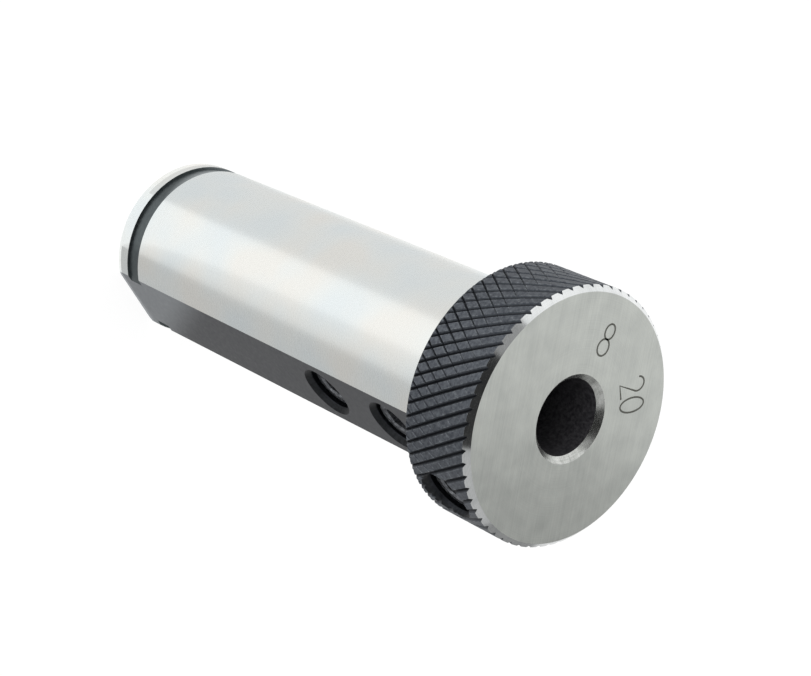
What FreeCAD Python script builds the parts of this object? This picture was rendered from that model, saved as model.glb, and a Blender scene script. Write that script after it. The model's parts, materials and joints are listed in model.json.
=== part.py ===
import FreeCAD, Part
import math
import os

# Adapter sleeve for a round tool shank, with the set screws that clamp the tool.
# Millimetres. The tail face lies on z = 0, the axis is +Z towards the head's face,
# and the clamping flat with its row of screws faces -Y.

# Driving dimensions of the sleeve
sleeve_length = 65.4
shank_diameter = 20.0
bore_diameter = 8.0
bore_chamfer = 0.6
tail_chamfer = 0.2
head_diameter = 26.8
head_length = 9.1
head_front_chamfer = 0.57
head_back_chamfer = 0.3

# Clamping flat along the shank, measured from the axis
flat_distance = 9.1

# Shallow ring groove near the tail
ring_groove_start = 2.0
ring_groove_width = 2.2
ring_groove_depth = 0.3

# Diamond knurl of the head: two crossing sets of grooves round the rim.
# The bold set widens a little towards the face. The faint one narrows and grows shallow,
# and has all but gone at the fade length from the shoulder.
knurl_count = 61
knurl_helix_deg = 30.0
knurl_depth = 0.26
knurl_turn_deg = -84.89
knurl_first_row = 1.0
knurl_fade_length = 7.0
bold_groove_width_back = 0.42
bold_groove_width_front = 0.52
faint_groove_width_back = 0.36
faint_groove_width_front = 0.12
faint_groove_depth_back = 0.22
faint_groove_depth_front = 0.015
faint_groove_ramp = 0.2
knurl_trim_margin = 0.1

# Set screws, drawn plain at the pitch diameter of their thread.
# The pitch line of a 60 degree thread lies three eighths of its sharp height under the crest.
thread_diameter = 6.0
thread_pitch = 1.0
thread_pitch_line = 3 / 8 * math.sin(math.radians(60))
thread_clearance = 0.05
screw_mouth_diameter = 6.4
screw_top_chamfer = 0.3
screw_tip_chamfer = 0.5
socket_across_flats = 3.0
socket_turn_deg = 12.0
socket_point_deg = 120.0
short_socket_depth = 2.0
long_socket_depth = 3.5

# Where the screws stand: one below the shoulder, the next one below it and one in the head.
# A recess is how far the screw's top lies under the surface, and a tip gap is how far
# its tip lies back from the bore while no tool is held.
shoulder_to_head_screw = 4.1
shoulder_to_middle_screw = 8.5
screw_spacing = 10.9
rear_recess = 1.0
rear_tip_gap = 0.1
middle_recess = 0.8
middle_tip_gap = 0.3
head_recess = 1.25
head_tip_gap = 0.15

# Sizes worked out from the driving dimensions
shank_radius = shank_diameter / 2
bore_radius = bore_diameter / 2
head_radius = head_diameter / 2
shoulder = sleeve_length - head_length
pitch_radius = thread_diameter / 2 - thread_pitch_line * thread_pitch
screw_hole_radius = pitch_radius + thread_clearance
half_tooth = math.pi / knurl_count
half_tooth_arc = head_radius * half_tooth
half_diamond = half_tooth_arc / math.tan(math.radians(knurl_helix_deg))
knurl_start = shoulder + knurl_first_row
middle_screw_height = shoulder - shoulder_to_middle_screw
rear_screw_height = middle_screw_height - screw_spacing
head_screw_height = shoulder + shoulder_to_head_screw

# One entry for each screw: (height on the axis, recess, gap from tip to bore, socket depth)
set_screws = {
    "set_screw_rear": (rear_screw_height, rear_recess, rear_tip_gap, short_socket_depth),
    "set_screw_middle": (middle_screw_height, middle_recess, middle_tip_gap, short_socket_depth),
    "set_screw_head": (head_screw_height, head_recess, head_tip_gap, long_socket_depth),
}

axis_up = FreeCAD.Vector(0, 0, 1)
inward = FreeCAD.Vector(0, 1, 0)


def polar(radius, angle, height):
    """Point at a radius and angle about the sleeve's axis."""
    return FreeCAD.Vector(radius * math.cos(angle), radius * math.sin(angle), height)


def polygon_face(points):
    """Flat face inside a closed loop of points."""
    return Part.Face(Part.makePolygon(points + points[:1]))


def revolved(outline):
    """Solid of revolution about the sleeve's axis from (radius, height) points."""
    points = [FreeCAD.Vector(radius, 0, height) for radius, height in outline]
    return polygon_face(points).revolve(FreeCAD.Vector(0, 0, 0), axis_up, 360)


def knurl_node(column, row):
    """Bottom of the grooves where two of them cross."""
    angle = math.radians(knurl_turn_deg) + column * half_tooth
    return polar(head_radius - knurl_depth, angle, knurl_start + row * half_diamond)


def faded(row, back, front):
    """Size at one row, which changes evenly from the shoulder up to the fade length."""
    share = (knurl_first_row + row * half_diamond) / knurl_fade_length
    return back + (front - back) * min(max(share, 0.0), 1.0)


def groove_width(row, bold):
    """Width of a groove at one row."""
    if bold:
        return faded(row, bold_groove_width_back, bold_groove_width_front)
    return faded(row, faint_groove_width_back, faint_groove_width_front)


def faint_groove_point(near, far, row):
    """Bottom of a faint groove where it has climbed out of the bold groove at its near end."""
    point = near + (far - near) * faint_groove_ramp
    rise = knurl_depth - faded(row, faint_groove_depth_back, faint_groove_depth_front)
    outward = FreeCAD.Vector(point.x, point.y, 0).normalize()
    return point + outward * rise


def three_plane_point(planes):
    """Point shared by three planes, each given as (normal, point)."""
    normals = [normal for normal, point in planes]
    offsets = [normal.dot(point) for normal, point in planes]
    crossed = [normals[1].cross(normals[2]), normals[2].cross(normals[0]), normals[0].cross(normals[1])]
    total = crossed[0] * offsets[0] + crossed[1] * offsets[1] + crossed[2] * offsets[2]
    return total * (1 / normals[0].dot(crossed[0]))


def knurl_diamond(column, row):
    """Flat faces of one diamond: its top and the flanks down to four groove crossings."""
    angle = math.radians(knurl_turn_deg) + column * half_tooth
    height = knurl_start + row * half_diamond
    outward = polar(1, angle, 0)
    tangent = polar(1, angle + math.pi / 2, 0)
    centre = polar(head_radius, angle, height)
    crest = (outward, centre)

    # Crossings to the right, above, left and below, then back to the right
    steps = [(1, 0), (0, 1), (-1, 0), (0, -1)]
    nodes = [knurl_node(column + across, row + up) for across, up in steps]
    bold_sides = []
    side_rows = []
    flanks = []
    for index in range(4):
        across = steps[index][0] + steps[(index + 1) % 4][0]
        up = steps[index][1] + steps[(index + 1) % 4][1]
        bold_sides.append(across * up > 0)
        side_rows.append(row + up / 2)
        middle = centre + tangent * (across * half_tooth_arc / 2) + axis_up * (up * half_diamond / 2)
        away = tangent * (across * half_diamond) + axis_up * (up * half_tooth_arc)
        away.normalize()
        edge_point = middle - away * (groove_width(side_rows[index], bold_sides[index]) / 2)
        first = nodes[index]
        second = nodes[(index + 1) % 4]
        flanks.append(((second - first).cross(edge_point - first), first))

    corners = [three_plane_point([crest, flanks[index - 1], flanks[index]]) for index in range(4)]
    faces = [polygon_face(corners)]
    for index in range(4):
        after = (index + 1) % 4
        if bold_sides[index]:
            faces.append(polygon_face([nodes[index], nodes[after], corners[after], corners[index]]))
            continue
        near = faint_groove_point(nodes[index], nodes[after], side_rows[index])
        far = faint_groove_point(nodes[after], nodes[index], side_rows[index])
        faces.append(polygon_face([nodes[index], near, corners[index]]))
        faces.append(polygon_face([near, far, corners[index]]))
        faces.append(polygon_face([far, corners[after], corners[index]]))
        faces.append(polygon_face([far, nodes[after], corners[after]]))
    return faces


def knurl_end(row, outer):
    """Fan of triangles that closes the knurled blank beyond one end of the head."""
    tip = FreeCAD.Vector(0, 0, knurl_start + (row + outer) * half_diamond)
    faces = []
    for column in range(2 * knurl_count):
        first_row = row + outer if (column + row + outer) % 2 == 0 else row
        second_row = row if first_row != row else row + outer
        faces.append(polygon_face([tip, knurl_node(column, first_row), knurl_node(column + 1, second_row)]))
    return faces


def knurled_blank():
    """Round bar covered in knurl diamonds, a little longer than the head at both ends."""
    first_row = math.floor(-knurl_first_row / half_diamond) - 1
    last_row = math.ceil((head_length - knurl_first_row) / half_diamond) + 1
    faces = knurl_end(first_row, -1) + knurl_end(last_row, 1)
    for row in range(first_row, last_row + 1):
        for column in range(2 * knurl_count):
            if (column + row) % 2 != 0:
                faces += knurl_diamond(column, row)
    return Part.makeSolid(Part.Shell(faces))


def head_envelope():
    """Chamfered outline of the head in flat strips, its side a little outside the knurl's crests."""
    side = head_radius + knurl_trim_margin
    outline = [
        (head_radius - head_back_chamfer, shoulder),
        (side, shoulder + head_back_chamfer + knurl_trim_margin),
        (side, sleeve_length - head_front_chamfer - knurl_trim_margin),
        (head_radius - head_front_chamfer, sleeve_length),
    ]
    start = math.radians(knurl_turn_deg)
    angles = [start + column * half_tooth for column in range(2 * knurl_count)]
    rings = [[polar(radius, angle, height) for angle in angles] for radius, height in outline]
    faces = [polygon_face(rings[0]), polygon_face(rings[-1])]
    for lower, upper in zip(rings, rings[1:]):
        for column in range(len(angles)):
            faces.append(polygon_face([lower[column - 1], lower[column], upper[column], upper[column - 1]]))
    return Part.makeSolid(Part.Shell(faces))


def shank():
    """Ground shank with its ring groove, up to the head's shoulder."""
    groove_end = ring_groove_start + ring_groove_width
    groove_floor = shank_radius - ring_groove_depth
    return revolved([
        (0, 0),
        (shank_radius - tail_chamfer, 0),
        (shank_radius, tail_chamfer),
        (shank_radius, ring_groove_start),
        (groove_floor, ring_groove_start),
        (groove_floor, groove_end),
        (shank_radius, groove_end),
        (shank_radius, shoulder),
        (0, shoulder),
    ])


def bore_cutter():
    """Through bore with a chamfer at each mouth."""
    mouth = bore_radius + bore_chamfer
    return revolved([
        (0, 0),
        (mouth, 0),
        (bore_radius, bore_chamfer),
        (bore_radius, sleeve_length - bore_chamfer),
        (mouth, sleeve_length),
        (0, sleeve_length),
    ])


def flat_cutter():
    """Block that mills the clamping flat from the tail to the shoulder."""
    corner = FreeCAD.Vector(-shank_radius, -flat_distance - shank_radius, 0)
    return Part.makeBox(2 * shank_radius, shank_radius, shoulder, corner)


def screw_surface(height):
    """Distance from the axis to the outside of the sleeve where a screw sits."""
    return head_radius if height > shoulder else flat_distance


def screw_hole_cutter(height):
    """Tapped hole into the bore, drawn plain, with a chamfered mouth."""
    surface = screw_surface(height)
    mouth_radius = screw_mouth_diameter / 2
    chamfer = mouth_radius - screw_hole_radius
    hole = Part.makeCylinder(screw_hole_radius, surface, FreeCAD.Vector(0, -surface, height), inward)
    cone_start = FreeCAD.Vector(0, -surface - chamfer, height)
    cone = Part.makeCone(mouth_radius + chamfer, screw_hole_radius, 2 * chamfer, cone_start, inward)
    return hole.fuse(cone)


def sleeve_body():
    """The sleeve as one piece: turned, knurled, milled, bored and tapped."""
    head = knurled_blank().common(head_envelope())
    body = head.fuse(shank())
    body = body.cut(flat_cutter())
    body = body.cut(bore_cutter())
    for height, _, _, _ in set_screws.values():
        body = body.cut(screw_hole_cutter(height))
    return body


def hexagon(across_flats, centre, turn_deg):
    """Hexagonal face across the screw's axis."""
    corner_radius = across_flats / 2 / math.cos(math.pi / 6)
    points = []
    for corner in range(6):
        angle = math.radians(turn_deg) + corner * math.pi / 3
        offset = FreeCAD.Vector(corner_radius * math.cos(angle), 0, corner_radius * math.sin(angle))
        points.append(centre + offset)
    return polygon_face(points)


def set_screw(height, recess, tip_gap, socket):
    """Flat-point set screw with a hexagon socket that ends in a drilled cone."""
    surface = screw_surface(height)
    length = surface - recess - bore_radius - tip_gap
    top = FreeCAD.Vector(0, recess - surface, height)
    waist_length = length - screw_top_chamfer - screw_tip_chamfer
    waist_start = top + inward * screw_top_chamfer
    tip_start = waist_start + inward * waist_length
    top_radius = pitch_radius - screw_top_chamfer
    tip_radius = pitch_radius - screw_tip_chamfer
    screw = Part.makeCylinder(pitch_radius, waist_length, waist_start, inward)
    screw = screw.fuse(Part.makeCone(top_radius, pitch_radius, screw_top_chamfer, top, inward))
    screw = screw.fuse(Part.makeCone(pitch_radius, tip_radius, screw_tip_chamfer, tip_start, inward))

    drill_radius = socket_across_flats / 2
    cone_depth = drill_radius / math.tan(math.radians(socket_point_deg / 2))
    cone = Part.makeCone(drill_radius, 0, cone_depth, top + inward * socket, inward)
    screw = screw.cut(hexagon(socket_across_flats, top, socket_turn_deg).extrude(inward * socket))
    return screw.cut(cone).removeSplitter()


os.makedirs("parts", exist_ok=True)
sleeve_body().exportStep("parts/sleeve_body.step")
for name, sizes in set_screws.items():
    set_screw(*sizes).exportStep("parts/" + name + ".step")
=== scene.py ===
"""Looks of an adapter sleeve: a ground and blackened steel sleeve with three set screws.

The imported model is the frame. This script dresses it, cuts the screws' threads and marks
plain size figures on the face, then sets up a plain studio with the camera. Lengths are
in metres unless a name ends in _mm.
"""

import json
import logging
import math
from abc import ABC, abstractmethod
from dataclasses import dataclass
from enum import Enum
from typing import Any, Callable, Optional

import bmesh
import bpy
from mathutils import Euler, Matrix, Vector

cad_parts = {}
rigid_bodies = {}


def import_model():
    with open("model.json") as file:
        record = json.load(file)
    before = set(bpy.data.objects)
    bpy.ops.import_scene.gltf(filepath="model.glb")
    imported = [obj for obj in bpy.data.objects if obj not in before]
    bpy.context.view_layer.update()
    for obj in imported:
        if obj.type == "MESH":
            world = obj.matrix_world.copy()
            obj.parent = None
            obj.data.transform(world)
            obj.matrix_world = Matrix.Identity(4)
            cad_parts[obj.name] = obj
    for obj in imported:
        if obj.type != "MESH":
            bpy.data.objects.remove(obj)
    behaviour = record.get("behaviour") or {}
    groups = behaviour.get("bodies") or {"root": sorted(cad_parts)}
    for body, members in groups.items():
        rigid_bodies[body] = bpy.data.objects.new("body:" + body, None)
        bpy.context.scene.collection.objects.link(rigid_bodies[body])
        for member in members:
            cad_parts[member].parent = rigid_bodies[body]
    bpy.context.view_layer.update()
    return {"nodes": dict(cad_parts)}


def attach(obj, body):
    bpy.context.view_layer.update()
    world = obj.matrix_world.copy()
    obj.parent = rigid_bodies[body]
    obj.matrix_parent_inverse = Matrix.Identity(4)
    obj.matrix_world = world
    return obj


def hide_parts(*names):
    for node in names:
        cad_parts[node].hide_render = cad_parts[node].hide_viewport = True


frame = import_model()

log = logging.getLogger("adapter_sleeve")

MM = 0.001
# Points of a screw that are closer than this are one point
MERGE_MM = 0.001
# Most values of a noise lie between these two
NOISE_LOW = 0.3
NOISE_HIGH = 0.7

Colour = tuple[float, float, float, float]
Tree = bpy.types.NodeTree
Socket = bpy.types.NodeSocket
Material = bpy.types.Material

WHITE: Colour = (1.0, 1.0, 1.0, 1.0)


# Colour and node helpers


def linear(code: str) -> Colour:
    """Turn an sRGB hex colour into a linear one.

    Args:
        code: Six hex digits, with or without a leading hash.

    Returns:
        Red, green, blue and an alpha of 1.
    """
    digits = code.lstrip("#")
    channels = [int(digits[start : start + 2], 16) / 255 for start in (0, 2, 4)]
    red, green, blue = [
        value / 12.92 if value <= 0.04045 else ((value + 0.055) / 1.055) ** 2.4 for value in channels
    ]
    return red, green, blue, 1.0


def add_node(
    tree: Tree,
    kind: str,
    settings: Optional[dict[str, Any]] = None,
    inputs: Optional[dict[Any, Any]] = None,
) -> bpy.types.Node:
    """Add a node with its settings, input values and links.

    Args:
        tree: Node tree that gets the node.
        kind: Blender's name of the node type.
        settings: Properties of the node itself.
        inputs: Input name or number to a value, or to an output socket to link.

    Returns:
        The new node.
    """
    node = tree.nodes.new(kind)
    for name, value in (settings or {}).items():
        setattr(node, name, value)
    for key, value in (inputs or {}).items():
        if isinstance(value, Socket):
            tree.links.new(value, node.inputs[key])
        else:
            node.inputs[key].default_value = value
    return node


def new_material(name: str) -> tuple[Material, Tree]:
    """Make an empty node material.

    Args:
        name: The material's name.

    Returns:
        The material and its node tree, with no nodes in it.
    """
    material = bpy.data.materials.new(name)
    material.use_nodes = True
    material.node_tree.nodes.clear()
    return material, material.node_tree


def new_object(name: str, data: bpy.types.ID) -> bpy.types.Object:
    """Make an object in the scene.

    Args:
        name: The object's name.
        data: Its mesh, curve, lamp or camera.

    Returns:
        The object.
    """
    made = bpy.data.objects.new(name, data)
    bpy.context.scene.collection.objects.link(made)
    return made


# Finishes


def from_noise(noise: Socket, low: float, high: float) -> dict[str, Any]:
    """Spread the usual values of a noise between two limits.

    Args:
        noise: The noise's factor.
        low: What a low value of the noise becomes.
        high: What a high value becomes.

    Returns:
        The inputs of a map range node.
    """
    return {"Value": noise, "From Min": NOISE_LOW, "From Max": NOISE_HIGH, "To Min": low, "To Max": high}


def axis_distance(tree: Tree, place: Socket) -> Socket:
    """Add nodes that measure how far a point is from the sleeve's axis.

    Args:
        tree: The material's node tree.
        place: The point in the object's own coordinates.

    Returns:
        The distance's socket.
    """
    flat = add_node(tree, "ShaderNodeVectorMath", {"operation": "MULTIPLY"}, {0: place, 1: (1.0, 1.0, 0.0)})
    radius = add_node(tree, "ShaderNodeVectorMath", {"operation": "LENGTH"}, {0: flat.outputs[0]})
    return radius.outputs["Value"]


@dataclass(frozen=True)
class Finish(ABC):
    """A finish of the part, which builds its own material."""

    name: str

    @abstractmethod
    def surface(self, tree: Tree, place: Socket) -> dict[str, Any]:
        """Add the nodes of the finish.

        Args:
            tree: The material's node tree.
            place: The shaded point in the object's own coordinates.

        Returns:
            The inputs of the shader.
        """

    def build(self) -> Material:
        """Build the material.

        Returns:
            The material.
        """
        material, tree = new_material(self.name)
        place = add_node(tree, "ShaderNodeTexCoord").outputs["Object"]
        shader = add_node(tree, "ShaderNodeBsdfPrincipled", {}, self.surface(tree, place))
        add_node(tree, "ShaderNodeOutputMaterial", {}, {"Surface": shader.outputs[0]})
        return material


@dataclass(frozen=True)
class GroundSteel(Finish):
    """Hardened tool steel, ground between centres.

    Very fine rings of scratches round the axis give a satin that smears each
    reflection along the axis and keeps it narrow across. Faint cool and warm
    clouds are the colour of the oil film on it.
    """

    name: str = "hardened_steel_ground"
    colour: str = "#edf0ee"
    cool_colour: str = "#e8eeef"
    warm_colour: str = "#f0efea"
    roughness: float = 0.27
    roughness_spread: float = 0.015
    anisotropy: float = 0.5
    scratch_length_mm: float = 8.0
    scratch_spacing_mm: float = 0.16
    scratch_depth_mm: float = 0.0008
    scratch_strength: float = 0.04
    scratch_shade: tuple[float, float] = (0.99, 1.005)
    cloud_size_mm: float = 8.0
    cloud_edge: float = 0.14

    def surface(self, tree: Tree, place: Socket) -> dict[str, Any]:
        """Add the nodes of the ground steel.

        Args:
            tree: The material's node tree.
            place: The shaded point in the object's own coordinates.

        Returns:
            The inputs of the shader.
        """
        around = 1 / (self.scratch_length_mm * MM)
        along = 1 / (self.scratch_spacing_mm * MM)
        lines = add_node(tree, "ShaderNodeMapping", {}, {"Vector": place, "Scale": (around, around, along)})
        scratches = add_node(
            tree,
            "ShaderNodeTexNoise",
            {},
            {"Vector": lines.outputs[0], "Scale": 1.0, "Detail": 3.0, "Roughness": 0.6},
        ).outputs["Fac"]
        clouds = add_node(
            tree,
            "ShaderNodeTexNoise",
            {},
            {"Vector": place, "Scale": 1 / (self.cloud_size_mm * MM), "Detail": 1.5},
        )
        tint = linear(self.colour)
        for reach, colour in ((-self.cloud_edge, self.cool_colour), (self.cloud_edge, self.warm_colour)):
            share = add_node(
                tree,
                "ShaderNodeMapRange",
                {},
                {"Value": clouds.outputs["Fac"], "From Min": 0.5, "From Max": 0.5 + reach},
            )
            tinted = add_node(
                tree,
                "ShaderNodeMix",
                {"data_type": "RGBA"},
                {0: share.outputs[0], 6: tint, 7: linear(colour)},
            )
            tint = tinted.outputs[2]
        shade = add_node(tree, "ShaderNodeMapRange", {}, from_noise(scratches, *self.scratch_shade))
        base = add_node(
            tree,
            "ShaderNodeMix",
            {"data_type": "RGBA", "blend_type": "MULTIPLY"},
            {0: 1.0, 6: tint, 7: shade.outputs[0]},
        )
        smooth = self.roughness - self.roughness_spread
        dull = self.roughness + self.roughness_spread
        rough = add_node(tree, "ShaderNodeMapRange", {}, from_noise(scratches, smooth, dull))
        # The tangent runs round the axis, and the quarter turn lays the smear along it
        tangent = add_node(tree, "ShaderNodeTangent", {"direction_type": "RADIAL", "axis": "Z"})
        bump = add_node(
            tree,
            "ShaderNodeBump",
            {},
            {"Strength": self.scratch_strength, "Distance": self.scratch_depth_mm * MM, "Height": scratches},
        )
        return {
            "Base Color": base.outputs[2],
            "Metallic": 1.0,
            "Roughness": rough.outputs[0],
            "Anisotropic": self.anisotropy,
            "Anisotropic Rotation": 0.25,
            "Tangent": tangent.outputs[0],
            "Normal": bump.outputs[0],
        }


@dataclass(frozen=True)
class TurnedSteel(Finish):
    """Steel faced on a lathe and polished lightly.

    Close rings about the axis with faint stray scratches across them make a
    grey satin that stays even from most sides, with a soft mottle from handling.
    """

    name: str = "steel_faced_on_lathe"
    colour: str = "#c5c8c3"
    dull_colour: str = "#b4b7b3"
    roughness: float = 0.42
    roughness_spread: float = 0.02
    ring_spacing_mm: float = 0.1
    ring_share: float = 0.35
    scratch_length_mm: float = 9.0
    scratch_spacing_mm: float = 0.12
    scratch_turn_deg: float = -42.0
    scratch_depth_mm: float = 0.001
    scratch_strength: float = 0.25
    mottle_size_mm: float = 2.2
    wear_limits: tuple[float, float] = (0.38, 0.62)

    def surface(self, tree: Tree, place: Socket) -> dict[str, Any]:
        """Add the nodes of the turned steel.

        Args:
            tree: The material's node tree.
            place: The shaded point in the object's own coordinates.

        Returns:
            The inputs of the shader.
        """
        rings = add_node(
            tree,
            "ShaderNodeTexNoise",
            {"noise_dimensions": "1D"},
            {"W": axis_distance(tree, place), "Scale": 1 / (self.ring_spacing_mm * MM), "Detail": 2.0},
        )
        long = self.scratch_length_mm * MM
        turned = add_node(
            tree,
            "ShaderNodeMapping",
            {"vector_type": "TEXTURE"},
            {
                "Vector": place,
                "Rotation": (0.0, 0.0, math.radians(self.scratch_turn_deg)),
                "Scale": (long, self.scratch_spacing_mm * MM, long),
            },
        )
        strays = add_node(
            tree, "ShaderNodeTexNoise", {}, {"Vector": turned.outputs[0], "Scale": 1.0, "Detail": 3.0}
        )
        mottle = add_node(
            tree,
            "ShaderNodeTexNoise",
            {},
            {"Vector": place, "Scale": 1 / (self.mottle_size_mm * MM), "Detail": 4.0, "Roughness": 0.55},
        ).outputs["Fac"]
        lines = add_node(
            tree,
            "ShaderNodeMix",
            {"data_type": "FLOAT"},
            {0: self.ring_share, 2: strays.outputs["Fac"], 3: rings.outputs["Fac"]},
        ).outputs[0]
        wear = add_node(tree, "ShaderNodeMix", {"data_type": "FLOAT"}, {0: 0.5, 2: mottle, 3: lines})
        least, most = self.wear_limits
        share = add_node(
            tree, "ShaderNodeMapRange", {}, {"Value": wear.outputs[0], "From Min": least, "From Max": most}
        )
        base = add_node(
            tree,
            "ShaderNodeMix",
            {"data_type": "RGBA"},
            {0: share.outputs[0], 6: linear(self.dull_colour), 7: linear(self.colour)},
        )
        smooth = self.roughness - self.roughness_spread
        dull = self.roughness + self.roughness_spread
        rough = add_node(tree, "ShaderNodeMapRange", {}, from_noise(mottle, smooth, dull))
        bump = add_node(
            tree,
            "ShaderNodeBump",
            {},
            {"Strength": self.scratch_strength, "Distance": self.scratch_depth_mm * MM, "Height": lines},
        )
        return {
            "Base Color": base.outputs[2],
            "Metallic": 1.0,
            "Roughness": rough.outputs[0],
            "Normal": bump.outputs[0],
        }


@dataclass(frozen=True)
class BlackenedSteel(Finish):
    """Steel with a hot black-oxide finish.

    The thin oxide layer is blue-black where it is whole and rubs to a lighter
    slate where hands and gauges touch it. Oil in it leaves a soft sheen.
    """

    name: str = "steel_black_oxide"
    colour: str = "#494d54"
    rubbed_colour: str = "#6e7379"
    roughness: float = 0.45
    smoother: float = 0.06
    rougher: float = 0.08
    metallic: float = 0.8
    grain_size_mm: float = 0.35
    grain_height_mm: float = 0.01
    grain_strength: float = 0.35
    rub_limits: tuple[float, float] = (0.38, 0.72)

    def finish_colour(self, tree: Tree, place: Socket, rubbed: Socket) -> Socket:
        """Add the nodes of the colour, from whole oxide to rubbed oxide.

        Args:
            tree: The material's node tree.
            place: The shaded point in the object's own coordinates.
            rubbed: How far the oxide has rubbed off, from 0 to 1.

        Returns:
            The colour's socket.
        """
        mixed = add_node(
            tree,
            "ShaderNodeMix",
            {"data_type": "RGBA"},
            {0: rubbed, 6: linear(self.colour), 7: linear(self.rubbed_colour)},
        )
        return mixed.outputs[2]

    def relief(self, tree: Tree, place: Socket, grain: Socket) -> Socket:
        """Add the nodes of the fine relief.

        Args:
            tree: The material's node tree.
            place: The shaded point in the object's own coordinates.
            grain: The grain's height, from 0 to 1.

        Returns:
            The normal's socket.
        """
        bump = add_node(
            tree,
            "ShaderNodeBump",
            {},
            {"Strength": self.grain_strength, "Distance": self.grain_height_mm * MM, "Height": grain},
        )
        return bump.outputs[0]

    def surface(self, tree: Tree, place: Socket) -> dict[str, Any]:
        """Add the nodes of the blackened steel.

        Args:
            tree: The material's node tree.
            place: The shaded point in the object's own coordinates.

        Returns:
            The inputs of the shader.
        """
        grain = add_node(
            tree,
            "ShaderNodeTexNoise",
            {},
            {"Vector": place, "Scale": 1 / (self.grain_size_mm * MM), "Detail": 4.0, "Roughness": 0.65},
        ).outputs["Fac"]
        least, most = self.rub_limits
        rubbed = add_node(
            tree, "ShaderNodeMapRange", {}, {"Value": grain, "From Min": least, "From Max": most}
        ).outputs[0]
        smooth = self.roughness - self.smoother
        dull = self.roughness + self.rougher
        rough = add_node(tree, "ShaderNodeMapRange", {}, from_noise(grain, smooth, dull))
        return {
            "Base Color": self.finish_colour(tree, place, rubbed),
            "Metallic": self.metallic,
            "Roughness": rough.outputs[0],
            "Normal": self.relief(tree, place, grain),
        }


@dataclass(frozen=True)
class KnurledOxide(BlackenedSteel):
    """Black oxide on the rolled knurl.

    The hollows keep the whole oxide and are darkened towards near black with painted shade, the tops are
    slate, and the edges of the tops show a thin light line, partly rubbed by hands and partly a painted
    highlight.
    """

    name: str = "steel_knurled_black_oxide"
    hollow_oxide_and_shade_colour: str = "#2a2d32"
    edge_wear_and_highlight_colour: str = "#c4c8cc"
    hollow_radius_mm: float = 13.2
    crest_radius_mm: float = 13.39
    edge_width_mm: float = 0.06
    edge_share: float = 0.85
    edge_match: tuple[float, float] = (0.995, 0.93)
    edge_rise: tuple[float, float] = (0.55, 0.95)

    def finish_colour(self, tree: Tree, place: Socket, rubbed: Socket) -> Socket:
        """Add the nodes of the colour, from the hollows darkened with painted shade to the edges lightened by
        wear and a painted highlight.

        Args:
            tree: The material's node tree.
            place: The shaded point in the object's own coordinates.
            rubbed: How far the oxide has rubbed off, from 0 to 1.

        Returns:
            The colour's socket.
        """
        # Painted shade: the colour darkens from the crests down into the hollows, over their whole oxide
        rise = add_node(
            tree,
            "ShaderNodeMapRange",
            {},
            {
                "Value": axis_distance(tree, place),
                "From Min": self.hollow_radius_mm * MM,
                "From Max": self.crest_radius_mm * MM,
            },
        ).outputs[0]
        crest = super().finish_colour(tree, place, rubbed)
        tone = add_node(
            tree, "ShaderNodeMix", {"data_type": "RGBA"}, {0: rise, 6: linear(self.hollow_oxide_and_shade_colour), 7: crest}
        )
        # A rounded normal leaves the true one only near an edge
        rounded = add_node(tree, "ShaderNodeBevel", {"samples": 6}, {"Radius": self.edge_width_mm * MM})
        true = add_node(tree, "ShaderNodeNewGeometry")
        match = add_node(
            tree,
            "ShaderNodeVectorMath",
            {"operation": "DOT_PRODUCT"},
            {0: rounded.outputs[0], 1: true.outputs["Normal"]},
        )
        even, bent = self.edge_match
        edge = add_node(
            tree,
            "ShaderNodeMapRange",
            {},
            {"Value": match.outputs["Value"], "From Min": even, "From Max": bent, "To Max": self.edge_share},
        )
        low, top = self.edge_rise
        high = add_node(tree, "ShaderNodeMapRange", {}, {"Value": rise, "From Min": low, "From Max": top})
        risen = add_node(
            tree, "ShaderNodeMath", {"operation": "MULTIPLY"}, {0: edge.outputs[0], 1: high.outputs[0]}
        )
        worn = add_node(tree, "ShaderNodeMath", {"operation": "MULTIPLY"}, {0: risen.outputs[0], 1: rubbed})
        # Painted highlight: the light line on the crest edges is partly rubbed oxide and partly painted
        # highlight
        lit = add_node(
            tree,
            "ShaderNodeMix",
            {"data_type": "RGBA"},
            {0: worn.outputs[0], 6: tone.outputs[2], 7: linear(self.edge_wear_and_highlight_colour)},
        )
        return lit.outputs[2]


@dataclass(frozen=True)
class OxideWithPaintedLight(BlackenedSteel):
    """Black oxide with painted light that makes it paler in one direction.

    On the milled flat the paler tail end is a painted reflection. In the ring groove the darker corner by the
    tail-side wall and the darker side next to the flat are painted shade.
    """

    name: str = "steel_milled_black_oxide_painted_reflection"
    colour: str = "#3c3e42"
    rubbed_colour: str = "#4a4c50"
    roughness: float = 0.38
    grain_size_mm: float = 0.5
    pale_colour: str = "#8d9195"
    direction: tuple[float, float, float] = (1.2, 0.0, 1.0)
    dark_at_mm: float = 14.0
    pale_at_mm: float = 5.5

    def finish_colour(self, tree: Tree, place: Socket, rubbed: Socket) -> Socket:
        """Add the nodes of the colour, with painted light that makes it paler in one direction.

        Args:
            tree: The material's node tree.
            place: The shaded point in the object's own coordinates.
            rubbed: How far the oxide has rubbed off, from 0 to 1.

        Returns:
            The colour's socket.
        """
        slanted = add_node(
            tree, "ShaderNodeVectorMath", {"operation": "DOT_PRODUCT"}, {0: place, 1: self.direction}
        )
        # Painted light: this mask lays the paler colour on by position, as a reflection on the flat and as
        # the lit part of the groove
        pale = add_node(
            tree,
            "ShaderNodeMapRange",
            {"interpolation_type": "SMOOTHSTEP"},
            {
                "Value": slanted.outputs["Value"],
                "From Min": self.dark_at_mm * MM,
                "From Max": self.pale_at_mm * MM,
            },
        )
        whole = super().finish_colour(tree, place, rubbed)
        mixed = add_node(
            tree,
            "ShaderNodeMix",
            {"data_type": "RGBA"},
            {0: pale.outputs[0], 6: whole, 7: linear(self.pale_colour)},
        )
        return mixed.outputs[2]


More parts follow.
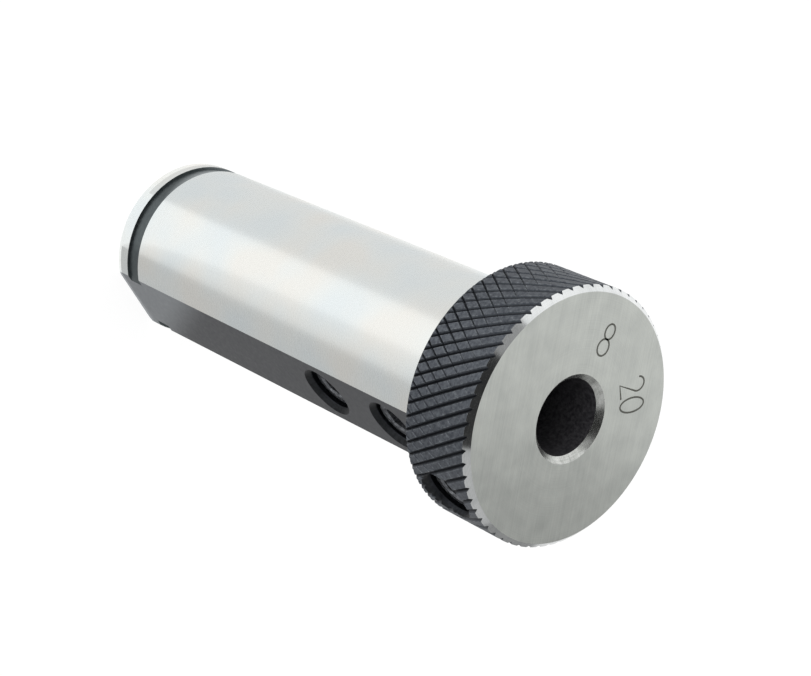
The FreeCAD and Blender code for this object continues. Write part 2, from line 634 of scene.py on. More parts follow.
@dataclass(frozen=True)
class TappedOxide(BlackenedSteel):
    """Black oxide on the wall of a tapped hole.

    The internal thread shows as close dark and light rings. Its lead is too
    slight to see, so the rings are level.
    """

    name: str = "steel_tapped_black_oxide"
    colour: str = "#24262a"
    rubbed_colour: str = "#3c3f44"
    thread_pitch_mm: float = 1.0
    thread_depth_mm: float = 0.3

    def relief(self, tree: Tree, place: Socket, grain: Socket) -> Socket:
        """Add the nodes of the thread's relief.

        Args:
            tree: The material's node tree.
            place: The shaded point in the object's own coordinates.
            grain: The grain's height, which the thread takes the place of.

        Returns:
            The normal's socket.
        """
        axes = add_node(tree, "ShaderNodeSeparateXYZ", {}, {0: place})
        half_pitch = self.thread_pitch_mm / 2 * MM
        thread = add_node(
            tree, "ShaderNodeMath", {"operation": "PINGPONG"}, {0: axes.outputs["Y"], 1: half_pitch}
        )
        height = add_node(
            tree, "ShaderNodeMath", {"operation": "DIVIDE"}, {0: thread.outputs[0], 1: half_pitch}
        )
        bump = add_node(
            tree,
            "ShaderNodeBump",
            {},
            {"Strength": 1.0, "Distance": self.thread_depth_mm * MM, "Height": height.outputs[0]},
        )
        return bump.outputs[0]


# The sleeve's body


class Zone(Enum):
    """Surface zones of the sleeve, one for each way that it was machined."""

    SHANK = 0
    FACED_END = 1
    FRONT_CHAMFER = 2
    KNURL = 3
    FLAT = 4
    RING_GROOVE = 5
    SHOULDER = 6
    BORE = 7
    BORE_CHAMFER = 8
    HOLE_WALL = 9
    HOLE_MOUTH = 10


@dataclass
class SleeveBody:
    """The turned, knurled, milled and bored body, dressed on a merged copy of its CAD node."""

    node: str = "sleeve_body"
    body: str = "sleeve"
    length_mm: float = 65.4
    shank_radius_mm: float = 10.0
    bore_radius_mm: float = 4.0
    bore_chamfer_mm: float = 0.6
    head_radius_mm: float = 13.4
    head_length_mm: float = 9.1
    head_front_chamfer_mm: float = 0.57
    head_back_chamfer_mm: float = 0.3
    flat_distance_mm: float = 9.1
    groove_start_mm: float = 2.0
    groove_width_mm: float = 2.2
    groove_depth_mm: float = 0.3
    hole_radius_mm: float = 2.725
    mouth_radius_mm: float = 3.2
    screw_heights_mm: tuple[float, ...] = (36.9, 47.8, 60.4)
    tolerance_mm: float = 0.006
    merge_mm: float = 0.0005
    # How much of a normal lies along the axis, or square to the flat
    level_limit: float = 0.1
    slope_limits: tuple[float, float] = (0.3, 0.95)
    chamfer_limit: float = 0.6
    flat_limit: float = 0.99

    def smooth_normal(self, zone: Zone, point: Vector, face_normal: Vector) -> Vector:
        """Direction of the true surface at a point of a face.

        Args:
            zone: The zone that the face belongs to.
            point: A corner of the face, in millimetres.
            face_normal: The flat normal of the face.

        Returns:
            The unit normal of the cylinder, cone or plane that the face stands for.
        """
        outward = Vector((point.x, point.y, 0.0))
        outward.normalize()
        along = Vector((0.0, 0.0, math.copysign(1.0, face_normal.z)))
        gentle, steep = self.slope_limits
        if zone in (Zone.SHANK, Zone.RING_GROOVE) and abs(face_normal.z) < self.level_limit:
            return outward
        sloped = gentle < abs(face_normal.z) < steep
        if zone in (Zone.SHANK, Zone.FRONT_CHAMFER, Zone.SHOULDER) and sloped:
            return (outward + along).normalized()
        if zone is Zone.BORE:
            return -outward
        if zone is Zone.BORE_CHAMFER:
            return (along - outward).normalized()
        if zone in (Zone.HOLE_WALL, Zone.HOLE_MOUTH):
            height = min(self.screw_heights_mm, key=lambda value: abs(value - point.z))
            inward = Vector((-point.x, 0.0, height - point.z)).normalized()
            lean = 0.0 if zone is Zone.HOLE_WALL else -1.0
            return (inward + Vector((0.0, lean, 0.0))).normalized()
        return face_normal

    def hole_zone(self, close: Callable[[Callable[[Vector], float]], bool]) -> Optional[Zone]:
        """Find whether a face belongs to one of the tapped holes.

        Args:
            close: Tells whether a measure is nearly zero at every corner of the face.

        Returns:
            The zone of the hole's wall or mouth, or nothing.
        """
        shoulder = self.length_mm - self.head_length_mm
        chamfer = self.mouth_radius_mm - self.hole_radius_mm
        for height in self.screw_heights_mm:
            surface = self.head_radius_mm if height > shoulder else self.flat_distance_mm

            def reach(point: Vector) -> float:
                """Distance from this hole's axis, or far away on the other side of the sleeve."""
                return math.hypot(point.x, point.z - height) if point.y < 0 else math.inf

            if close(lambda point: reach(point) - self.hole_radius_mm):
                return Zone.HOLE_WALL
            if close(lambda point: reach(point) - self.hole_radius_mm + point.y + surface - chamfer):
                return Zone.HOLE_MOUTH
        return None

    def zone_of(self, corners: list[Vector], normal: Vector) -> Zone:
        """Find which zone a face belongs to.

        Args:
            corners: The face's corners, in millimetres.
            normal: The face's flat normal.

        Returns:
            The zone.
        """
        length = self.length_mm
        shoulder = length - self.head_length_mm
        groove_end = self.groove_start_mm + self.groove_width_mm
        groove_floor = self.shank_radius_mm - self.groove_depth_mm
        mouth = self.bore_radius_mm + self.bore_chamfer_mm
        front = self.head_radius_mm - self.head_front_chamfer_mm
        back = self.head_radius_mm - self.head_back_chamfer_mm

        def radius(point: Vector) -> float:
            """Distance from the sleeve's axis."""
            return math.hypot(point.x, point.y)

        def close(measure: Callable[[Vector], float]) -> bool:
            """Whether a measure is nearly zero at every corner."""
            return all(abs(measure(corner)) < self.tolerance_mm for corner in corners)

        if close(lambda point: point.y + self.flat_distance_mm) and normal.y < -self.flat_limit:
            return Zone.FLAT
        if close(lambda point: point.z) or close(lambda point: point.z - length):
            return Zone.FACED_END
        if close(lambda point: radius(point) - self.bore_radius_mm):
            return Zone.BORE
        if close(lambda point: radius(point) - mouth + min(point.z, length - point.z)):
            return Zone.BORE_CHAMFER
        hole = self.hole_zone(close)
        if hole is not None:
            return hole
        if close(lambda point: point.z - self.groove_start_mm) or close(lambda point: point.z - groove_end):
            return Zone.RING_GROOVE
        if corners[0].z < shoulder and close(lambda point: radius(point) - groove_floor):
            return Zone.RING_GROOVE
        if close(lambda point: point.z - shoulder):
            return Zone.SHOULDER
        if all(corner.z < shoulder + self.tolerance_mm for corner in corners):
            return Zone.SHANK
        if normal.z > self.chamfer_limit and close(lambda point: radius(point) - front - length + point.z):
            return Zone.FRONT_CHAMFER
        if normal.z < -self.chamfer_limit and close(lambda point: radius(point) - back + shoulder - point.z):
            return Zone.SHOULDER
        return Zone.KNURL

    def build(self, finishes: dict[Zone, Material]) -> None:
        """Make the dressed copy, which stands for the CAD node.

        Args:
            finishes: The material of each zone.
        """
        mesh = frame["nodes"][self.node].data.copy()
        mesh.name = "sleeve_dressed"
        mesh.materials.clear()
        work = bmesh.new()
        work.from_mesh(mesh)
        bmesh.ops.remove_doubles(work, verts=work.verts, dist=self.merge_mm * MM)
        counts = {zone.name: 0 for zone in Zone}
        for face in work.faces:
            zone = self.zone_of([vertex.co / MM for vertex in face.verts], face.normal)
            counts[zone.name] += 1
            face.material_index = zone.value
            face.smooth = True
        work.to_mesh(mesh)
        work.free()
        for zone in Zone:
            mesh.materials.append(finishes[zone])
        normals = []
        for polygon in mesh.polygons:
            zone = Zone(polygon.material_index)
            for corner in polygon.vertices:
                point = mesh.vertices[corner].co / MM
                normals.append(tuple(self.smooth_normal(zone, point, polygon.normal)))
        mesh.normals_split_custom_set(normals)
        piece = new_object("sleeve_dressed", mesh)
        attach(piece, self.body)
        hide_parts(self.node)
        log.info("sleeve body: %s", counts)


# Set screws


# Each step of the thread's arithmetic: its name, the operation and what it works on
THREAD_STEPS: tuple[tuple[Any, ...], ...] = (
    ("half columns", "MULTIPLY", "Segments", 0.5),
    ("half rows", "MULTIPLY", "rows span", 0.5),
    ("column place", "ADD", "x", "half columns"),
    ("row place", "ADD", "y", "half rows"),
    ("column", "ROUND", "column place"),
    ("row", "ROUND", "row place"),
    ("turn share", "DIVIDE", "column", "Segments"),
    ("row middle", "ADD", "row", 0.5),
    ("turns", "DIVIDE", "row middle", 4.0),
    ("whole turns", "FLOOR", "turns"),
    ("line", "MULTIPLY_ADD", "whole turns", -4.0, "row"),
    ("is root", "GREATER_THAN", "line", 1.5),
    # The crest is an eighth of the pitch wide and the root a quarter
    ("crest part", "MULTIPLY", "line", 0.125),
    ("root part", "MULTIPLY_ADD", "line", 0.125, -0.0625),
    ("part", "MULTIPLY_ADD", "is root", "root part", "crest part"),
    ("climb", "ADD", "whole turns", "part"),
    ("climb from", "ADD", "climb", "turn share"),
    ("pitches", "SUBTRACT", "climb from", 1.0),
    ("climbed", "MULTIPLY_ADD", "pitches", "Pitch", "Start"),
    ("from start", "MAXIMUM", "climbed", "Start"),
    ("along", "MINIMUM", "from start", "End"),
    ("depth", "SUBTRACT", "Root Radius", "Crest Radius"),
    ("thread radius", "MULTIPLY_ADD", "is root", "depth", "Crest Radius"),
    ("past start", "SUBTRACT", "along", "Start"),
    ("before end", "SUBTRACT", "End", "along"),
    ("top cone", "ADD", "Top Radius", "past start"),
    ("tip cone", "ADD", "Tip Radius", "before end"),
    ("cones", "MINIMUM", "top cone", "tip cone"),
    ("radius", "MINIMUM", "thread radius", "cones"),
    ("angle", "MULTIPLY_ADD", "turn share", -2 * math.pi, "Turn"),
    ("cosine", "COSINE", "angle"),
    ("sine", "SINE", "angle"),
    ("across", "MULTIPLY", "radius", "cosine"),
    ("upward", "MULTIPLY_ADD", "radius", "sine", "Height"),
)


def new_band_tree(name: str, sockets: dict[str, str]) -> Tree:
    """Make the node tree of a band, with its sockets and no nodes.

    Args:
        name: The tree's name.
        sockets: The inputs by name, each with the kind of its socket, besides the finish.

    Returns:
        The node tree.
    """
    tree = bpy.data.node_groups.new(name, "GeometryNodeTree")
    for label, kind in {**sockets, "Finish": "Material"}.items():
        tree.interface.new_socket(name=label, in_out="INPUT", socket_type="NodeSocket" + kind)
    tree.interface.new_socket(name="Geometry", in_out="OUTPUT", socket_type="NodeSocketGeometry")
    return tree


def end_band_tree(tree: Tree, band: Socket, finish: Socket) -> None:
    """Add the nodes that give a band its finish and hand it out.

    Args:
        tree: The node tree.
        band: The band's geometry.
        finish: Its material.
    """
    real = add_node(tree, "GeometryNodeRealizeInstances", {}, {"Geometry": band})
    finished = add_node(
        tree, "GeometryNodeSetMaterial", {}, {"Geometry": real.outputs[0], "Material": finish}
    )
    add_node(tree, "NodeGroupOutput", {}, {"Geometry": finished.outputs[0]})


def thread_tree() -> Tree:
    """Build the node tree of a thread: a helical band with flat crests and roots.

    A row of the grid is an edge line of the thread. Each turn has four of them: the crest's
    start and end, and the root's. The lines climb one pitch round the grid, and where they
    pass the band's ends they are held there, so both ends close in a plain ring.

    Returns:
        The node tree.
    """
    sizes = ("Crest Radius", "Root Radius", "Pitch", "Start", "End", "Top Radius", "Tip Radius")
    sockets = {name: "Float" for name in (*sizes, "Height", "Turn")}
    tree = new_band_tree("thread_band", {**sockets, "Segments": "Int", "Rows": "Int"})
    given = add_node(tree, "NodeGroupInput").outputs
    columns = add_node(tree, "ShaderNodeMath", {"operation": "ADD"}, {0: given["Segments"], 1: 1.0})
    span = add_node(tree, "ShaderNodeMath", {"operation": "SUBTRACT"}, {0: given["Rows"], 1: 1.0})
    grid = add_node(
        tree,
        "GeometryNodeMeshGrid",
        {},
        {
            "Size X": given["Segments"],
            "Size Y": span.outputs[0],
            "Vertices X": columns.outputs[0],
            "Vertices Y": given["Rows"],
        },
    )
    place = add_node(tree, "GeometryNodeInputPosition")
    axes = add_node(tree, "ShaderNodeSeparateXYZ", {}, {0: place.outputs[0]})
    known = {socket.name: socket for socket in given if socket.name}
    known.update({"x": axes.outputs["X"], "y": axes.outputs["Y"], "rows span": span.outputs[0]})
    for name, operation, *operands in THREAD_STEPS:
        inputs = {index: known.get(operand, operand) for index, operand in enumerate(operands)}
        known[name] = add_node(tree, "ShaderNodeMath", {"operation": operation}, inputs).outputs[0]
    point = add_node(
        tree, "ShaderNodeCombineXYZ", {}, {0: known["across"], 1: known["along"], 2: known["upward"]}
    )
    moved = add_node(
        tree, "GeometryNodeSetPosition", {}, {"Geometry": grid.outputs["Mesh"], "Position": point.outputs[0]}
    )
    merged = add_node(
        tree, "GeometryNodeMergeByDistance", {}, {"Geometry": moved.outputs[0], "Distance": MERGE_MM * MM}
    )
    end_band_tree(tree, merged.outputs[0], given["Finish"])
    return tree


def made_by_nodes(source: bpy.types.ID, tree: Tree, values: dict[str, Any]) -> bpy.types.Mesh:
    """Run a node tree on an object's data and keep the result as a plain mesh.

    Args:
        source: The mesh or curve that the tree starts from.
        tree: The node tree.
        values: The tree's inputs by name.

    Returns:
        The mesh that the tree makes.
    """
    worker = new_object("node_worker", source)
    modifier = worker.modifiers.new("nodes", "NODES")
    modifier.node_group = tree
    for item in tree.interface.items_tree:
        if item.item_type == "SOCKET" and item.in_out == "INPUT" and item.name in values:
            modifier[item.identifier] = values[item.name]
    graph = bpy.context.evaluated_depsgraph_get()
    graph.update()
    result = bpy.data.meshes.new_from_object(worker.evaluated_get(graph))
    worker.modifiers.remove(modifier)
    bpy.data.objects.remove(worker)
    return result


@dataclass
class SetScrew:
    """A hexagon-socket set screw with a flat point and its thread cut."""

    node: str
    body: str
    height_mm: float
    recess_mm: float
    surface_mm: float = 9.1
    length_mm: float = 4.0
    socket_depth_mm: float = 2.0
    crest_radius_mm: float = 2.675
    thread_depth_mm: float = 0.3
    pitch_mm: float = 1.0
    top_chamfer_mm: float = 0.3
    tip_chamfer_mm: float = 0.5
    across_flats_mm: float = 3.0
    socket_turn_deg: float = 12.0
    socket_lead_in_mm: float = 0.18
    socket_point_deg: float = 120.0
    sharp_deg: float = 28.0
    segments: int = 48

    def ring(self, radius_mm: float, depth_mm: float, hexagon: bool = False) -> list[Vector]:
        """Make one ring of points round the screw's axis.

        Args:
            radius_mm: Radius of the ring, or half of the hexagon's width across flats.
            depth_mm: How far the ring lies under the screw's top.
            hexagon: Whether the ring follows a hexagon.

        Returns:
            The points, in metres.
        """
        points = []
        for index in range(self.segments):
            angle = -2 * math.pi * index / self.segments
            reach = radius_mm
            if hexagon:
                sector = math.pi / 3
                reach = radius_mm / math.cos((angle % sector) - sector / 2)
            angle += math.radians(self.socket_turn_deg)
            depth = self.recess_mm - self.surface_mm + depth_mm
            across = reach * math.cos(angle)
            upward = self.height_mm + reach * math.sin(angle)
            points.append(Vector((across, depth, upward)) * MM)
        return points

    def thread(self, tree: Tree, finish: Material) -> bpy.types.Mesh:
        """Cut the thread from top to tip.

        Args:
            tree: The node tree of a thread.
            finish: The screw's material.

        Returns:
            The thread's band, open at both ends.
        """
        start = self.recess_mm - self.surface_mm
        turns = math.ceil(self.length_mm / self.pitch_mm) + 2
        values = {
            "Crest Radius": self.crest_radius_mm * MM,
            "Root Radius": (self.crest_radius_mm - self.thread_depth_mm) * MM,
            "Pitch": self.pitch_mm * MM,
            "Start": start * MM,
            "End": (start + self.length_mm) * MM,
            "Top Radius": (self.crest_radius_mm - self.top_chamfer_mm) * MM,
            "Tip Radius": (self.crest_radius_mm - self.tip_chamfer_mm) * MM,
            "Height": self.height_mm * MM,
            "Turn": math.radians(self.socket_turn_deg),
            "Segments": self.segments,
            "Rows": 4 * turns,
            "Finish": finish,
        }
        return made_by_nodes(bpy.data.meshes.new("thread_seed"), tree, values)

    def build(self, tree: Tree, finish: Material) -> None:
        """Make the screw, which stands for its CAD node.

        Args:
            tree: The node tree of a thread.
            finish: The screw's material.
        """
        half_hexagon = self.across_flats_mm / 2
        lead_in = self.socket_lead_in_mm
        drilled = half_hexagon / math.tan(math.radians(self.socket_point_deg / 2))
        top_radius = self.crest_radius_mm - self.top_chamfer_mm
        tip_radius = self.crest_radius_mm - self.tip_chamfer_mm
        top_rings = [
            self.ring(top_radius, 0.0),
            self.ring(half_hexagon / math.cos(math.pi / 6) + lead_in / 2, 0.0),
            self.ring(half_hexagon, lead_in, hexagon=True),
            self.ring(half_hexagon, self.socket_depth_mm, hexagon=True),
            self.ring(half_hexagon, self.socket_depth_mm),
        ]
        work = bmesh.new()
        work.from_mesh(self.thread(tree, finish))
        self.skin(work, top_rings)
        self.fan(work, top_rings[-1], self.socket_depth_mm + drilled)
        self.fan(work, self.ring(tip_radius, self.length_mm), self.length_mm)
        bmesh.ops.remove_doubles(work, verts=work.verts, dist=MERGE_MM * MM)
        bmesh.ops.recalc_face_normals(work, faces=work.faces)
        for face in work.faces:
            face.smooth = True
        mesh = bpy.data.meshes.new(self.node + "_threaded")
        work.to_mesh(mesh)
        open_edges = sum(1 for edge in work.edges if len(edge.link_faces) != 2)
        work.free()
        mesh.materials.append(finish)
        mesh.set_sharp_from_angle(angle=math.radians(self.sharp_deg))
        piece = new_object(self.node + "_threaded", mesh)
        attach(piece, self.body)
        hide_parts(self.node)
        log.info("%s: %d faces, %d open edges", piece.name, len(mesh.polygons), open_edges)

    def skin(self, work: bmesh.types.BMesh, rings: list[list[Vector]]) -> None:
        """Join neighbouring rings with faces.

        Args:
            work: The mesh being made.
            rings: The rings in order.
        """
        vertices = [[work.verts.new(point) for point in ring] for ring in rings]
        for lower, upper in zip(vertices, vertices[1:]):
            for index in range(self.segments):
                work.faces.new((lower[index - 1], lower[index], upper[index], upper[index - 1]))

    def fan(self, work: bmesh.types.BMesh, ring: list[Vector], depth_mm: float) -> None:
        """Close a ring to a point on the screw's axis.

        Args:
            work: The mesh being made.
            ring: The ring.
            depth_mm: How far the point lies under the screw's top.
        """
        depth = self.recess_mm - self.surface_mm + depth_mm
        centre = work.verts.new(Vector((0.0, depth, self.height_mm)) * MM)
        vertices = [work.verts.new(point) for point in ring]
        for index in range(self.segments):
            work.faces.new((vertices[index - 1], vertices[index], centre))


# Size figures


class Figure(Enum):
    """Figures of the size mark."""

    ZERO = "0"
    TWO = "2"
    EIGHT = "8"


def stroke_tree() -> Tree:
    """Build the node tree of a marked stroke: a thin flat band along a curve.

    Returns:
        The node tree.
    """
    tree = new_band_tree("marked_stroke", {"Curve": "Geometry", "Width": "Float", "Thickness": "Float"})
    given = add_node(tree, "NodeGroupInput").outputs
    section = add_node(
        tree,
        "GeometryNodeCurvePrimitiveQuadrilateral",
        {},
        {"Width": given["Width"], "Height": given["Thickness"]},
    )
    band = add_node(
        tree,
        "GeometryNodeCurveToMesh",
        {},
        {"Curve": given["Curve"], "Profile Curve": section.outputs[0], "Fill Caps": True},
    )
    end_band_tree(tree, band.outputs[0], given["Finish"])
    return tree


@dataclass
class SizeFigures:
    """Plain figures of the bore and shank sizes, marked on the face along a circle."""

    body: str = "sleeve"
    face_mm: float = 65.4
    circle_radius_mm: float = 8.4
    figure_height_mm: float = 3.3
    figure_width_mm: float = 1.55
    stroke_width_mm: float = 0.19
    stroke_thickness_mm: float = 0.02
    places_deg: tuple[tuple[Figure, float], ...] = (
        (Figure.EIGHT, -152.0), (Figure.TWO, 158.0), (Figure.ZERO, 144.5)
    )
    steps: int = 40

    def arc(
        self, centre: tuple[float, float], radii: tuple[float, float], start_deg: float, end_deg: float
    ) -> list[tuple[float, float]]:
        """Make points along part of an ellipse.

        Args:
            centre: The ellipse's centre, in figure widths and heights from the figure's middle.
            radii: The two radii, in figure widths and heights.
            start_deg: Where the arc starts, anticlockwise from the right.
            end_deg: Where the arc ends.

        Returns:
            The points, in figure widths and heights.
        """
        points = []
        for index in range(self.steps + 1):
            angle = math.radians(start_deg + (end_deg - start_deg) * index / self.steps)
            points.append((centre[0] + radii[0] * math.cos(angle), centre[1] + radii[1] * math.sin(angle)))
        return points

    def strokes(self, figure: Figure) -> list[list[tuple[float, float]]]:
        """Draw the strokes of a figure.

        Args:
            figure: The figure.

        Returns:
            The strokes as points, in figure widths and heights from the figure's middle.
        """
        if figure is Figure.ZERO:
            return [self.arc((0.0, 0.0), (0.5, 0.5), 0, 360)]
        if figure is Figure.EIGHT:
            upper = self.arc((0.0, 0.26), (0.42, 0.24), 0, 360)
            lower = self.arc((0.0, -0.24), (0.5, 0.26), 0, 360)
            return [upper, lower]
        bow = self.arc((0.0, 0.25), (0.48, 0.25), 165, -35)
        return [bow + [(-0.5, -0.5), (0.5, -0.5)]]

    def place(self, point: tuple[float, float], place_deg: float) -> tuple[float, float, float, float]:
        """Put a point of a figure on the face.

        Args:
            point: The point, in figure widths and heights from the figure's middle.
            place_deg: Where the figure stands, anticlockwise from -Y.

        Returns:
            The point as a curve takes it, in metres.
        """
        angle = math.radians(place_deg)
        outward = Vector((math.sin(angle), -math.cos(angle), 0.0))
        rightward = Vector((-math.cos(angle), -math.sin(angle), 0.0))
        spot = outward * (self.circle_radius_mm + point[1] * self.figure_height_mm)
        spot += rightward * (point[0] * self.figure_width_mm)
        spot.z = self.face_mm
        return (*(spot * MM), 1.0)

    def build(self, tree: Tree, finish: Material) -> None:
        """Mark the figures on the face, as one piece.

        Args:
            tree: The node tree of a stroke.
            finish: The mark's material.
        """
        curve = bpy.data.curves.new("size_strokes", "CURVE")
        curve.dimensions = "3D"
        curve.twist_mode = "Z_UP"
        for figure, place_deg in self.places_deg:
            for stroke in self.strokes(figure):
                spline = curve.splines.new("POLY")
                spline.points.add(len(stroke) - 1)
                for target, point in zip(spline.points, stroke):
                    target.co = self.place(point, place_deg)
        values = {
            "Width": self.stroke_width_mm * MM, "Thickness": self.stroke_thickness_mm * MM, "Finish": finish
        }
        mesh = made_by_nodes(curve, tree, values)
        mesh.name = "size_figures"
        piece = new_object("size_figures", mesh)
        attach(piece, self.body)
        low = min(vertex.co.z for vertex in mesh.vertices) / MM
        high = max(vertex.co.z for vertex in mesh.vertices) / MM
        log.info("size figures: %d faces from %.3f to %.3f mm", len(mesh.polygons), low, high)


# Studio


@dataclass(frozen=True)
class Softbox:
    """A square softbox that faces the sleeve.

    It gives the light and the shadow. Reflections show the white room and the cards instead.
    """

    name: str
    position: tuple[float, float, float]
    size: float
    radiance: float
    colour: str = "#ffffff"
    target: tuple[float, float, float] = (0.0, 0.0, 0.035)

    def build(self) -> None:
        """Make the lamp."""
        lamp = bpy.data.lights.new(self.name, "AREA")
        lamp.shape = "SQUARE"
        lamp.size = self.size
        # A square lamp of this area sends out its radiance times pi times the area
        lamp.energy = self.radiance * math.pi * self.size**2
        lamp.color = linear(self.colour)[:3]
        piece = new_object(self.name, lamp)
        piece.location = self.position
        aim = Vector(self.target) - Vector(self.position)
        piece.rotation_euler = aim.to_track_quat("-Z", "Y").to_euler()
        piece.visible_glossy = False


@dataclass(frozen=True)
class Card:
    """A grey card of the studio, which only reflections show.

    It is part of a disc: it lies on the floor beside the sleeve, or it stands up and
    faces the sleeve. Where it has an end tone, it fades from one edge to the other.
    """

    name: str
    tone: float
    radius: float
    from_deg: float = 0.0
    to_deg: float = 360.0
    end_tone: Optional[float] = None
    centre: tuple[float, float, float] = (0.0, 0.0, 0.0006)
    facing: tuple[float, float, float] = (0.0, 0.0, 1.0)
    steps: int = 36

    def build(self) -> None:
        """Make the card."""
        material, tree = new_material(self.name + "_paper")
        printed = add_node(tree, "ShaderNodeAttribute", {"attribute_name": "tone"})
        glow = add_node(tree, "ShaderNodeEmission", {}, {"Color": WHITE, "Strength": printed.outputs["Fac"]})
        add_node(tree, "ShaderNodeOutputMaterial", {}, {"Surface": glow.outputs[0]})
        end_tone = self.tone if self.end_tone is None else self.end_tone
        points = []
        tones = []
        for index in range(self.steps + 1):
            share = index / self.steps
            angle = math.radians(self.from_deg + (self.to_deg - self.from_deg) * share)
            points += [(0.0, 0.0, 0.0), (self.radius * math.sin(angle), -self.radius * math.cos(angle), 0.0)]
            tones += 2 * [self.tone + (end_tone - self.tone) * share]
        faces = [(2 * i, 2 * i + 1, 2 * i + 3, 2 * i + 2) for i in range(self.steps)]
        mesh = bpy.data.meshes.new(self.name)
        mesh.from_pydata(points, [], faces)
        mesh.attributes.new("tone", "FLOAT", "POINT").data.foreach_set("value", tones)
        mesh.materials.append(material)
        card = new_object(self.name, mesh)
        card.location = self.centre
        turn = Vector((0.0, 0.0, 1.0)).rotation_difference(Vector(self.facing))
        card.rotation_euler = turn.to_euler()
        card.visible_camera = False
        card.visible_diffuse = False
        card.visible_shadow = False


@dataclass
class Studio:
    """Pale floor, soft light, grey cards and the camera of the photograph."""

    floor_half: float = 2.5
    floor_colour: str = "#e8e8e8"
    shaded_colour: str = "#949494"
    shaded_glow: float = 0.82
    ambient: float = 0.6
    softboxes: tuple[Softbox, ...] = (
        Softbox("softbox_left", (-0.62, -0.35, 0.42), 0.55, 2.2),
        Softbox("softbox_back", (-0.35, 0.75, 0.55), 0.5, 1.2),
    )
    cards: tuple[Card, ...] = (
        Card("card_left", 0.91, 0.3, -60.0, -24.0, 0.79, centre=(-0.0068, -0.0073, 0.0004)),
        Card("card_flat_side", 0.57, 0.3, -24.0, 75.0, centre=(-0.0068, -0.0073, 0.0006)),
        Card("card_flat_fade", 0.57, 0.3, 75.0, 115.0, 1.03, centre=(-0.0068, -0.0073, 0.0007)),
        Card("card_behind", 1.03, 0.3, 112.0, 156.0, centre=(-0.004, 0.003, 0.0005)),
        Card("card_far_side", 0.8, 0.3, 152.0, 256.5, centre=(-0.0099, -0.0012, 0.001)),
        Card("card_face", 0.48, 0.030, centre=(0.0506, -0.0093, 0.0947), facing=(-0.673, -0.35, -0.651)),
        Card("card_wall", 0.5, 0.31, centre=(0.166, -0.237, 0.143), facing=(-0.554, 0.791, -0.259)),
        Card("card_wall_low", 0.28, 0.105, centre=(0.238, -0.077, 0.056), facing=(-0.951, 0.309, 0.035)),
        Card("camera_body", 0.03, 0.155, centre=(-0.107, -0.088, 0.234), facing=(0.486, 0.4, -0.769)),
        Card("camera_stand", 0.32, 0.18, centre=(-0.14, -0.05, 0.245), facing=(0.525, 0.2, -0.769)),
    )
    camera_location: tuple[float, float, float] = (-0.136494, -0.071002, 0.197544)
    camera_turn_deg: tuple[float, float, float] = (-21.9768, -39.5018, 60.0807)
    lens_mm: float = 92.885
    sensor_mm: float = 36.0
    clip: tuple[float, float] = (0.005, 20.0)

    def shown_ray(self, tree: Tree) -> Socket:
        """Add nodes that tell a ray of the camera, a reflection or a refraction.

        Args:
            tree: The node tree to add them to.

        Returns:
            A socket that is 1 for such a ray and 0 for any other.
        """
        path = add_node(tree, "ShaderNodeLightPath").outputs
        shown = path["Is Camera Ray"]
        for name in ("Is Glossy Ray", "Is Transmission Ray"):
            either = add_node(tree, "ShaderNodeMath", {"operation": "MAXIMUM"}, {0: shown, 1: path[name]})
            shown = either.outputs[0]
        return shown

    def build_world(self) -> None:
        """Make a world that shows white and lights at a plain level."""
        world = bpy.data.worlds.new("studio_world")
        world.use_nodes = True
        tree = world.node_tree
        tree.nodes.clear()
        strength = add_node(
            tree,
            "ShaderNodeMapRange",
            {},
            {"Value": self.shown_ray(tree), "To Min": self.ambient, "To Max": 1.0},
        )
        sky = add_node(tree, "ShaderNodeBackground", {}, {"Color": WHITE, "Strength": strength.outputs[0]})
        add_node(tree, "ShaderNodeOutputWorld", {}, {"Surface": sky.outputs[0]})
        bpy.context.scene.world = world

    def build_floor(self) -> None:
        """Make the floor, white where it is lit and a little darker in the sleeve's shadow."""
        material, tree = new_material("painted_floor_matt")
        lit = add_node(tree, "ShaderNodeBsdfDiffuse", {}, {"Color": linear(self.floor_colour)})
        shaded = add_node(tree, "ShaderNodeBsdfDiffuse", {}, {"Color": linear(self.shaded_colour)})
        glow = add_node(tree, "ShaderNodeEmission", {}, {"Color": WHITE, "Strength": self.shaded_glow})
        pale = add_node(tree, "ShaderNodeAddShader", {}, {0: shaded.outputs[0], 1: glow.outputs[0]})
        seen = add_node(
            tree, "ShaderNodeMixShader", {}, {0: self.shown_ray(tree), 1: lit.outputs[0], 2: pale.outputs[0]}
        )
        add_node(tree, "ShaderNodeOutputMaterial", {}, {"Surface": seen.outputs[0]})
        half = self.floor_half
        mesh = bpy.data.meshes.new("floor")
        corners = [(-half, -half, 0.0), (half, -half, 0.0), (half, half, 0.0), (-half, half, 0.0)]
        mesh.from_pydata(corners, [], [(0, 1, 2, 3)])
        mesh.materials.append(material)
        floor = new_object("floor", mesh)

    def build_camera(self) -> None:
        """Make the camera at the photograph's place."""
        lens = bpy.data.cameras.new("camera")
        lens.lens = self.lens_mm
        lens.sensor_width = self.sensor_mm
        lens.clip_start, lens.clip_end = self.clip
        camera = new_object("camera", lens)
        camera.location = self.camera_location
        camera.rotation_euler = Euler([math.radians(value) for value in self.camera_turn_deg], "XYZ")
        bpy.context.scene.camera = camera

    def build(self) -> None:
        """Make the world, the floor, the lamps, the cards and the camera."""
        bpy.context.scene.view_settings.view_transform = "Standard"
        self.build_world()
        self.build_floor()
        for softbox in self.softboxes:
            softbox.build()
        for card in self.cards:
            card.build()
        self.build_camera()
        log.info("studio: floor, %d softboxes, %d cards and the camera", len(self.softboxes), len(self.cards))


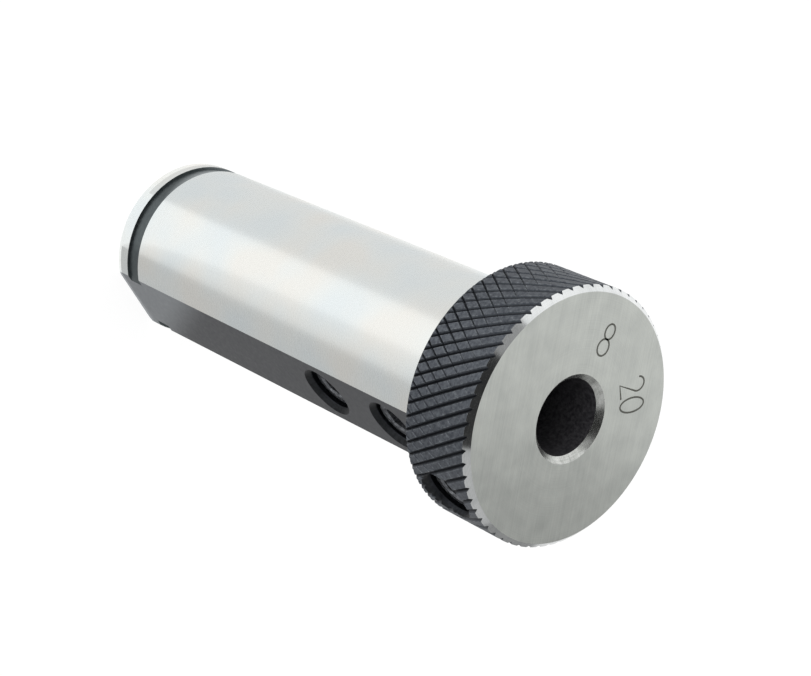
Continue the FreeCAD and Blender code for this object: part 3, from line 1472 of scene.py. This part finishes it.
def sleeve_finishes() -> dict[Zone, Material]:
    """Build the finish of each zone of the sleeve.

    Returns:
        The material of each zone.
    """
    faced = TurnedSteel().build()
    # A fine cut on the lathe leaves the front chamfer almost mirror bright
    bright = TurnedSteel(
        name="steel_chamfer_bright", colour="#edefef", dull_colour="#dadddd", roughness=0.14
    ).build()
    # Tools that slide in and out scuff the chamfer of the bore, so it is bright and streaky
    worn = TurnedSteel(
        name="steel_chamfer_worn", colour="#e2e4e1", dull_colour="#b2b4b0", roughness=0.27, mottle_size_mm=0.8
    ).build()
    # Painted shade: the ring groove is darker in the corner by the tail-side wall and on the side of the flat
    groove = OxideWithPaintedLight(
        name="steel_groove_black_oxide_painted_shade",
        colour="#535a5c",
        rubbed_colour="#616869",
        pale_colour="#9ca2a4",
        direction=(0.0, 0.25, 1.0),
        dark_at_mm=3.0,
        pale_at_mm=4.7,
    ).build()
    # The hole mouths and the shoulder are black oxide darkened further with painted shade
    recess = BlackenedSteel(
        name="steel_recess_black_oxide_painted_shade", colour="#202224", rubbed_colour="#36383b"
    ).build()
    # A drilled and reamed bore takes the oxide unevenly and stays dull, and its dark colour is partly painted
    # shade inside the bore
    bored = BlackenedSteel(
        name="steel_bored_black_oxide_part_painted_shade",
        colour="#2f2e32",
        rubbed_colour="#59585b",
        roughness=0.6,
        metallic=0.4,
    ).build()
    return {
        Zone.SHANK: GroundSteel().build(),
        Zone.FACED_END: faced,
        Zone.FRONT_CHAMFER: bright,
        Zone.KNURL: KnurledOxide().build(),
        # Painted reflection: the milled flat is paler towards the tail end
        Zone.FLAT: OxideWithPaintedLight().build(),
        Zone.RING_GROOVE: groove,
        Zone.SHOULDER: recess,
        Zone.BORE: bored,
        Zone.BORE_CHAMFER: worn,
        Zone.HOLE_WALL: TappedOxide().build(),
        Zone.HOLE_MOUTH: recess,
    }


def main() -> None:
    """Build every piece in order, then the studio."""
    logging.basicConfig(level=logging.INFO, format="%(name)s: %(message)s")
    SleeveBody().build(sleeve_finishes())
    # Screws of alloy steel, blackened when they are made and rubbed by the key
    oxide = BlackenedSteel(
        name="alloy_steel_screw_black", colour="#54565a", rubbed_colour="#94979b", roughness=0.34
    ).build()
    threads = thread_tree()
    for screw in (
        SetScrew(node="set_screw_rear", body="rear_screw", height_mm=36.9, recess_mm=1.0),
        SetScrew(node="set_screw_middle", body="middle_screw", height_mm=47.8, recess_mm=0.8),
        SetScrew(
            node="set_screw_head",
            body="head_screw",
            height_mm=60.4,
            recess_mm=1.25,
            surface_mm=13.4,
            length_mm=8.0,
            socket_depth_mm=3.5,
        ),
    ):
        screw.build(threads, oxide)
    # A laser darkens the steel to a dull olive grey
    mark = BlackenedSteel(
        name="laser_mark_on_steel", colour="#55564f", rubbed_colour="#6b6c66", roughness=0.6, metallic=0.3
    )
    SizeFigures().build(stroke_tree(), mark.build())
    Studio().build()


if __name__ == "__main__":
    main()
